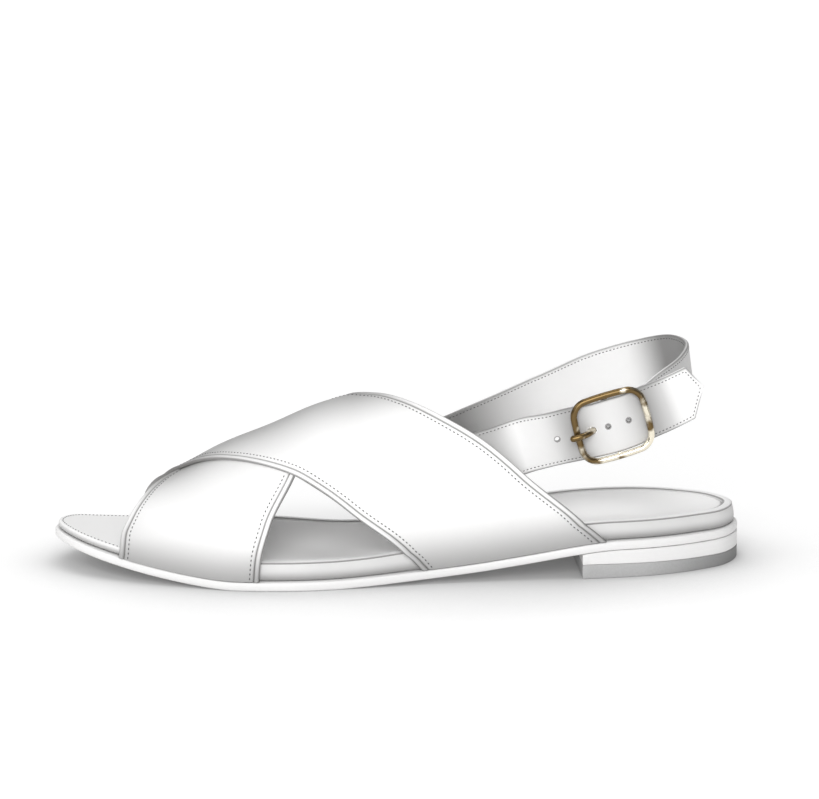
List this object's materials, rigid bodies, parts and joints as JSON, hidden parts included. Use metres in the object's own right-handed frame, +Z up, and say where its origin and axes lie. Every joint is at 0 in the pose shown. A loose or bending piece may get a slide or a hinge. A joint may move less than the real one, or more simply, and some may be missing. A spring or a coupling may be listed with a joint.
{
  "type": "leather sandal",
  "caption": "Flat left-foot leather slingback sandal with crossed vamp straps, a buckled heel strap, a wrapped footbed and a low stacked heel.",
  "frame": {"origin": "on the floor, under the middle of the sandal's bounding box", "axes": "-X towards the toe, +X towards the heel, -Y the outer side of the foot, +Z up"},
  "size_m": [0.253, 0.0821, 0.0818],
  "materials": {
    "outsole": "satin white edge",
    "footbed": "smooth light grey wrap",
    "insole": "matt grey sock",
    "heel_block": "satin white stack",
    "heel_top_piece": "matt grey",
    "upper": "smooth white, soft sheen",
    "sling": "smooth white, soft sheen",
    "buckle": "polished"
  },
  "bodies": {
    "root": {"outsole": "outsole", "footbed": "footbed", "insole": "insole", "heel_block": "heel_block", "heel_top_piece": "heel_top_piece", "upper": "upper", "billet_strap": "sling", "heel_strap": "sling", "buckle_frame": "buckle", "buckle_prong": "buckle"}
  },
  "joints": []
}
